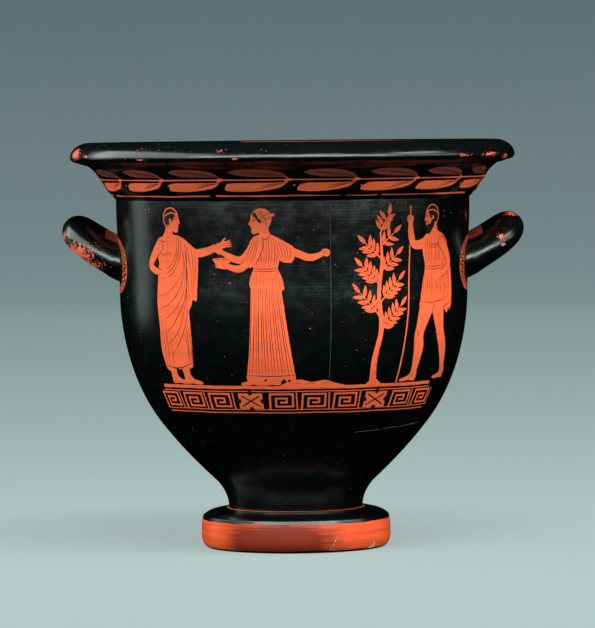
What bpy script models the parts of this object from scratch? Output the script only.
"""Red-figure bell krater: a wheel-thrown mixing bowl with a ring foot and two upturned handles.

The pot is one piece of fired clay, so it is one solid. Its frame has +Z up and its origin at the
centre of the foot's resting plane. The handles lie near X, and the painted front faces -Y.
Lengths are in metres. A profile is a list of (radius, height) points. Its angles are in degrees,
from 0 straight outward to 90 straight up.
"""

import math

import bmesh
import bpy
from mathutils import Matrix, Vector
from mathutils.geometry import interpolate_bezier

# Foot: a thick disc with a bulging side and a domed top, hollow underneath
FOOT_SPREAD = 0.0237  # the side stands out this far beyond the stem
FOOT_BASE_INSET = 0.0056  # the resting edge lies this far inside the widest part
FOOT_ARRIS_INSET = 0.0014
FOOT_BULGE_HEIGHT = 0.0125
FOOT_SHOULDER_HEIGHT = 0.0147  # from the widest part up to the arris
FOOT_DOME_RISE = 0.0066
FOOT_EDGE_ANGLE = 20
FOOT_ARRIS_ANGLE = 102
FOOT_DOME_START_ANGLE = 135
FOOT_DOME_END_ANGLE = 176
REST_RING_WIDTH = 0.0140
RECESS_DEPTH = 0.0380
RECESS_DOME_DROP = 0.0050
RECESS_DOME_INSET = 0.0220  # the dome's edge lies this far inside the recess's mouth
RECESS_DOME_ANGLE = -40

# Stem: a fine groove, then a short cove up to the bowl
STEM_RADIUS = 0.0574
GROOVE_DEPTH = 0.0006
GROOVE_LEDGE = 0.0014
GROOVE_HEIGHT = 0.0016
STEM_HEIGHT = 0.0223
STEM_FLARE = 0.0106
STEM_FULLNESS = 0.31
BOWL_BASE_ANGLE = 43

# Bowl: a slanting lower part that turns up into a nearly upright wall
LOWER_BOWL_SPREAD = 0.0450
LOWER_BOWL_HEIGHT = 0.0485
TURN_ANGLE = 52
UPPER_BOWL_SPREAD = 0.0359
UPPER_BOWL_HEIGHT = 0.1145
BELLY_FULLNESS = 0.30
UPRIGHT_HEIGHT = 0.0780
NECK_SPREAD = 0.0024
WALL = 0.0075
FLOOR = 0.0125

# Rim: a splayed band for the wreath, a cove and an overhanging rounded lip
BAND_SPREAD = 0.0118
BAND_HEIGHT = 0.0145
BAND_START_ANGLE = 45
BAND_END_ANGLE = 60
COVE_SPREAD = 0.0125
COVE_HEIGHT = 0.0144
COVE_END_ANGLE = 30
LIP_LEDGE = 0.0032  # from the cove's edge out to the lip's round
LIP_SPREAD = 0.0114
LIP_UNDERCUT = 0.0006
LIP_BULGE_HEIGHT = 0.0065
LIP_CROWN_HEIGHT = 0.0128
LIP_CROWN_WIDTH = 0.0163
LIP_INNER_WIDTH = 0.0105
LIP_INNER_DROP = 0.0045
LIP_INNER_ANGLE = 230
MOUTH_FLARE_ANGLE = 240

# Handles: round horseshoes, set on the upright wall, turned up and a little towards the back
HANDLE_DROP = 0.0525  # root centre below the neck
HANDLE_HALF_SPREAD = 0.0380
HANDLE_REACH = 0.0378  # the crown's centre line beyond the wall
HANDLE_RISE = 0.0260
HANDLE_SLANT = 22
HANDLE_FULLNESS = 0.72
HANDLE_RADIUS = 0.0126
HANDLE_ROOT_FLARE = 0.0036
HANDLE_FLARE_LENGTH = 0.0090
HANDLE_BURIAL = 0.0160
HANDLE_BACKSET = 8  # degrees round the pot from its widest side towards the back

# Fineness: points on each stretch of a profile, and the steps of a turn
EVEN_FULLNESS = 0.36
SHORT_CURVE = 3
SMALL_CURVE = 4
CURVE = 5
LIP_CURVE = 6
OUTSIDE_BOWL = (6, 8, 3)  # lower bowl, upper bowl, wall
INSIDE_BOWL = (5, 7, 3)
MEASURING_BOWL = (9, 9, 9)
LATHE_STEPS = 60
HALF_HANDLE_RINGS = 9
HANDLE_SIDES = 14
JOIN_TOLERANCE = 1e-5
SHARP_EDGE_ANGLE = 40

GLOSS_COLOUR = (0.012, 0.013, 0.014, 1.0)
GLOSS_ROUGHNESS = 0.28

# Places that several stretches share
FOOT_RADIUS = STEM_RADIUS + FOOT_SPREAD
ARRIS_Z = FOOT_BULGE_HEIGHT + FOOT_SHOULDER_HEIGHT
STEM_BASE_Z = ARRIS_Z + FOOT_DOME_RISE
BOWL_BASE_RADIUS = STEM_RADIUS + STEM_FLARE
BOWL_BASE_Z = STEM_BASE_Z + STEM_HEIGHT + GROOVE_HEIGHT
TURN_RADIUS = BOWL_BASE_RADIUS + LOWER_BOWL_SPREAD
TURN_Z = BOWL_BASE_Z + LOWER_BOWL_HEIGHT
BELLY_RADIUS = TURN_RADIUS + UPPER_BOWL_SPREAD
BELLY_Z = TURN_Z + UPPER_BOWL_HEIGHT
NECK_RADIUS = BELLY_RADIUS + NECK_SPREAD
NECK_Z = BELLY_Z + UPRIGHT_HEIGHT
BAND_RADIUS = NECK_RADIUS + BAND_SPREAD
BAND_Z = NECK_Z + BAND_HEIGHT
COVE_RADIUS = BAND_RADIUS + COVE_SPREAD
COVE_Z = BAND_Z + COVE_HEIGHT
LIP_RADIUS = COVE_RADIUS + LIP_LEDGE + LIP_SPREAD
LIP_BULGE_Z = COVE_Z + LIP_UNDERCUT + LIP_BULGE_HEIGHT
CREST_RADIUS = LIP_RADIUS - LIP_CROWN_WIDTH
RIM_Z = LIP_BULGE_Z + LIP_CROWN_HEIGHT
MOUTH_RADIUS = CREST_RADIUS - LIP_INNER_WIDTH
FLOOR_Z = RECESS_DEPTH + FLOOR


def sweep(start, leaving, end, arriving, steps, fullness=EVEN_FULLNESS, end_fullness=None):
    """A curved stretch that leaves its start and arrives at its end at the given angles."""
    chord = math.dist(start, end)
    out, home = math.radians(leaving), math.radians(arriving)
    reach = chord * fullness
    end_reach = reach if end_fullness is None else chord * end_fullness
    corners = (
        start,
        (start[0] + math.cos(out) * reach, start[1] + math.sin(out) * reach),
        (end[0] - math.cos(home) * end_reach, end[1] - math.sin(home) * end_reach),
        end,
    )
    points = interpolate_bezier(*[Vector((radius, height, 0.0)) for radius, height in corners], steps)
    return [(point.x, point.y) for point in points]


def joined(*stretches):
    """One profile from stretches that meet end to end, with each shared point kept once."""
    profile = []
    for stretch in stretches:
        for point in stretch:
            if not profile or math.dist(profile[-1], point) > JOIN_TOLERANCE:
                profile.append(point)
    return profile


def inward(profile, distance):
    """The profile moved towards the axis, square to itself at each point."""
    moved = []
    for index, (radius, height) in enumerate(profile):
        before = profile[max(index - 1, 0)]
        after = profile[min(index + 1, len(profile) - 1)]
        run, climb = after[0] - before[0], after[1] - before[1]
        length = math.hypot(run, climb)
        moved.append((radius - climb / length * distance, height + run / length * distance))
    return moved


def recess_profile():
    """Underside, from the middle of the hollow out to the pot's resting edge."""
    edge = (FOOT_RADIUS - FOOT_BASE_INSET, 0.0)
    mouth = (edge[0] - REST_RING_WIDTH, 0.0)
    dome_edge = (mouth[0] - RECESS_DOME_INSET, RECESS_DEPTH - RECESS_DOME_DROP)
    return joined(sweep((0.0, RECESS_DEPTH), 0, dome_edge, RECESS_DOME_ANGLE, SMALL_CURVE), [mouth, edge])


def foot_profile():
    """Foot, from its resting edge up the bulging side and over the dome to the stem."""
    edge = (FOOT_RADIUS - FOOT_BASE_INSET, 0.0)
    bulge = (FOOT_RADIUS, FOOT_BULGE_HEIGHT)
    arris = (FOOT_RADIUS - FOOT_ARRIS_INSET, ARRIS_Z)
    dome_foot = (STEM_RADIUS + GROOVE_LEDGE, STEM_BASE_Z)
    return joined(
        sweep(edge, FOOT_EDGE_ANGLE, bulge, 90, CURVE),
        sweep(bulge, 90, arris, FOOT_ARRIS_ANGLE, SHORT_CURVE),
        sweep(arris, FOOT_DOME_START_ANGLE, dome_foot, FOOT_DOME_END_ANGLE, CURVE),
    )


def stem_profile():
    """Groove at the joint and the cove up to the bowl."""
    groove = (STEM_RADIUS - GROOVE_DEPTH, STEM_BASE_Z + GROOVE_HEIGHT / 2)
    stem_foot = (STEM_RADIUS, STEM_BASE_Z + GROOVE_HEIGHT)
    bowl_base = (BOWL_BASE_RADIUS, BOWL_BASE_Z)
    return joined([groove], sweep(stem_foot, 90, bowl_base, BOWL_BASE_ANGLE, CURVE, STEM_FULLNESS))


def bowl_profile(lower_steps, upper_steps, wall_steps):
    """Bowl, from the stem out along the slant, up round the belly and up the wall to the neck."""
    base = (BOWL_BASE_RADIUS, BOWL_BASE_Z)
    turn = (TURN_RADIUS, TURN_Z)
    belly = (BELLY_RADIUS, BELLY_Z)
    neck = (NECK_RADIUS, NECK_Z)
    return joined(
        sweep(base, BOWL_BASE_ANGLE, turn, TURN_ANGLE, lower_steps),
        sweep(turn, TURN_ANGLE, belly, 90, upper_steps, EVEN_FULLNESS, BELLY_FULLNESS),
        sweep(belly, 90, neck, 90, wall_steps),
    )


def rim_profile():
    """Rim, from the neck over the band and the cove and round the lip to its crest."""
    neck = (NECK_RADIUS, NECK_Z)
    band = (BAND_RADIUS, BAND_Z)
    cove = (COVE_RADIUS, COVE_Z)
    ledge = (COVE_RADIUS + LIP_LEDGE, COVE_Z + LIP_UNDERCUT)
    bulge = (LIP_RADIUS, LIP_BULGE_Z)
    crest = (CREST_RADIUS, RIM_Z)
    return joined(
        sweep(neck, BAND_START_ANGLE, band, BAND_END_ANGLE, CURVE),
        sweep(band, BAND_END_ANGLE, cove, COVE_END_ANGLE, CURVE),
        sweep(ledge, COVE_END_ANGLE, bulge, 90, SMALL_CURVE),
        sweep(bulge, 90, crest, 180, LIP_CURVE),
    )


def inside_profile():
    """Inside, from the crest of the lip down the wall to the middle of the floor."""
    crest = (CREST_RADIUS, RIM_Z)
    mouth = (MOUTH_RADIUS, RIM_Z - LIP_INNER_DROP)
    wall = inward(bowl_profile(*INSIDE_BOWL), WALL)[::-1]
    foot = wall[-1]
    middle = (0.0, FLOOR_Z)
    return joined(
        sweep(crest, 180, mouth, LIP_INNER_ANGLE, SMALL_CURVE),
        sweep(mouth, MOUTH_FLARE_ANGLE, wall[0], 270, CURVE),
        wall,
        sweep(foot, 180 + BOWL_BASE_ANGLE, middle, 180, CURVE),
    )


def lathe(name, profile):
    """A solid turned about Z from a profile that runs down its outer side, axis to axis."""
    mesh = bpy.data.meshes.new(name)
    points = [(radius, 0.0, height) for radius, height in profile]
    mesh.from_pydata(points, [(index, index + 1) for index in range(len(points) - 1)], [])
    obj = bpy.data.objects.new(name, mesh)
    bpy.context.scene.collection.objects.link(obj)
    screw = obj.modifiers.new("turned", "SCREW")
    screw.angle = math.tau
    screw.steps = screw.render_steps = LATHE_STEPS
    screw.use_merge_vertices = True
    screw.merge_threshold = JOIN_TOLERANCE
    return obj


def wall_radius(height):
    """Radius of the pot's outside at a height on the bowl or the wall."""
    profile = bowl_profile(*MEASURING_BOWL)
    for (low_radius, low), (high_radius, high) in zip(profile, profile[1:]):
        if low <= height <= high:
            return low_radius + (high_radius - low_radius) * (height - low) / (high - low)
    return NECK_RADIUS


def handle_line():
    """Centre line of a handle that faces +X, from the front root over the crown to the back root."""
    root_z = NECK_Z - HANDLE_DROP
    wall = wall_radius(root_z)
    root_x = math.sqrt(wall ** 2 - HANDLE_HALF_SPREAD ** 2)
    crown_x = wall + HANDLE_REACH
    arm = HANDLE_FULLNESS * (crown_x - root_x)
    root = Vector((root_x, -HANDLE_HALF_SPREAD, root_z))
    leaving = Vector((arm, 0.0, arm * math.tan(math.radians(HANDLE_SLANT))))
    crown = Vector((crown_x, 0.0, root_z + HANDLE_RISE))
    arriving = Vector((0.0, -HANDLE_FULLNESS * HANDLE_HALF_SPREAD, 0.0))
    front = interpolate_bezier(root, root + leaving, crown + arriving, crown, HALF_HANDLE_RINGS)
    front.insert(0, root - leaving.normalized() * HANDLE_BURIAL)
    back = [Vector((point.x, -point.y, point.z)) for point in front[-2::-1]]
    return front + back


def handle(name, side):
    """One handle as a closed round tube whose ends are buried in the wall."""
    line = handle_line()
    root_x = line[1].x
    place = Matrix.Scale(side, 3, (1.0, 0.0, 0.0)) @ Matrix.Rotation(math.radians(HANDLE_BACKSET), 3, "Z")
    builder = bmesh.new()
    rings = []
    for index, centre in enumerate(line):
        ahead = (line[min(index + 1, len(line) - 1)] - line[max(index - 1, 0)]).normalized()
        upward = Vector((0.0, 0.0, 1.0)) - ahead * ahead.z
        upward.normalize()
        beside = ahead.cross(upward)
        clear = max(centre.x - root_x, 0.0)
        radius = HANDLE_RADIUS + HANDLE_ROOT_FLARE * math.exp(-clear / HANDLE_FLARE_LENGTH)
        ring = []
        for corner in range(HANDLE_SIDES):
            turn = math.tau * corner / HANDLE_SIDES
            offset = upward * math.cos(turn) + beside * math.sin(turn)
            ring.append(builder.verts.new(place @ (centre + offset * radius)))
        rings.append(ring)
    for near, far in zip(rings, rings[1:]):
        for corner in range(HANDLE_SIDES):
            after = (corner + 1) % HANDLE_SIDES
            builder.faces.new((near[corner], far[corner], far[after], near[after]))
    builder.faces.new(rings[0])
    builder.faces.new(rings[-1][::-1])
    bmesh.ops.recalc_face_normals(builder, faces=builder.faces[:])
    mesh = bpy.data.meshes.new(name)
    builder.to_mesh(mesh)
    builder.free()
    obj = bpy.data.objects.new(name, mesh)
    bpy.context.scene.collection.objects.link(obj)
    return obj


def boolean(obj, helper, operation):
    """Joins a helper shape to obj or cuts it away, and keeps the helper out of the model."""
    modifier = obj.modifiers.new(operation.lower(), "BOOLEAN")
    modifier.operation = operation
    modifier.object = helper
    helper.hide_render = True
    helper.display_type = "WIRE"


def black_gloss():
    """The pot's main finish: fired black gloss over orange clay."""
    material = bpy.data.materials.new("black_gloss")
    material.use_nodes = True
    shader = material.node_tree.nodes["Principled BSDF"]
    shader.inputs["Base Color"].default_value = GLOSS_COLOUR
    shader.inputs["Roughness"].default_value = GLOSS_ROUGHNESS
    shader.inputs["Metallic"].default_value = 0.0
    return material


def build():
    """The whole pot: the turned body, and two handles that end halfway into its wall."""
    for obj in list(bpy.data.objects):
        bpy.data.objects.remove(obj)
    bowl = bowl_profile(*OUTSIDE_BOWL)
    outside = joined(recess_profile(), foot_profile(), stem_profile(), bowl, rim_profile())
    krater = lathe("krater", joined(inside_profile()[::-1], outside[::-1]))
    halfway = inward(bowl_profile(*INSIDE_BOWL), WALL / 2)
    core = lathe("handle_trim", [(0.0, NECK_Z)] + halfway[::-1] + [(0.0, BOWL_BASE_Z)])
    for name, side in (("left_handle", -1.0), ("right_handle", 1.0)):
        grip = handle(name, side)
        boolean(grip, core, "DIFFERENCE")
        boolean(krater, grip, "UNION")
    krater.data.materials.append(black_gloss())
    krater.data.shade_smooth()
    krater.data.set_sharp_from_angle(angle=math.radians(SHARP_EDGE_ANGLE))


build()
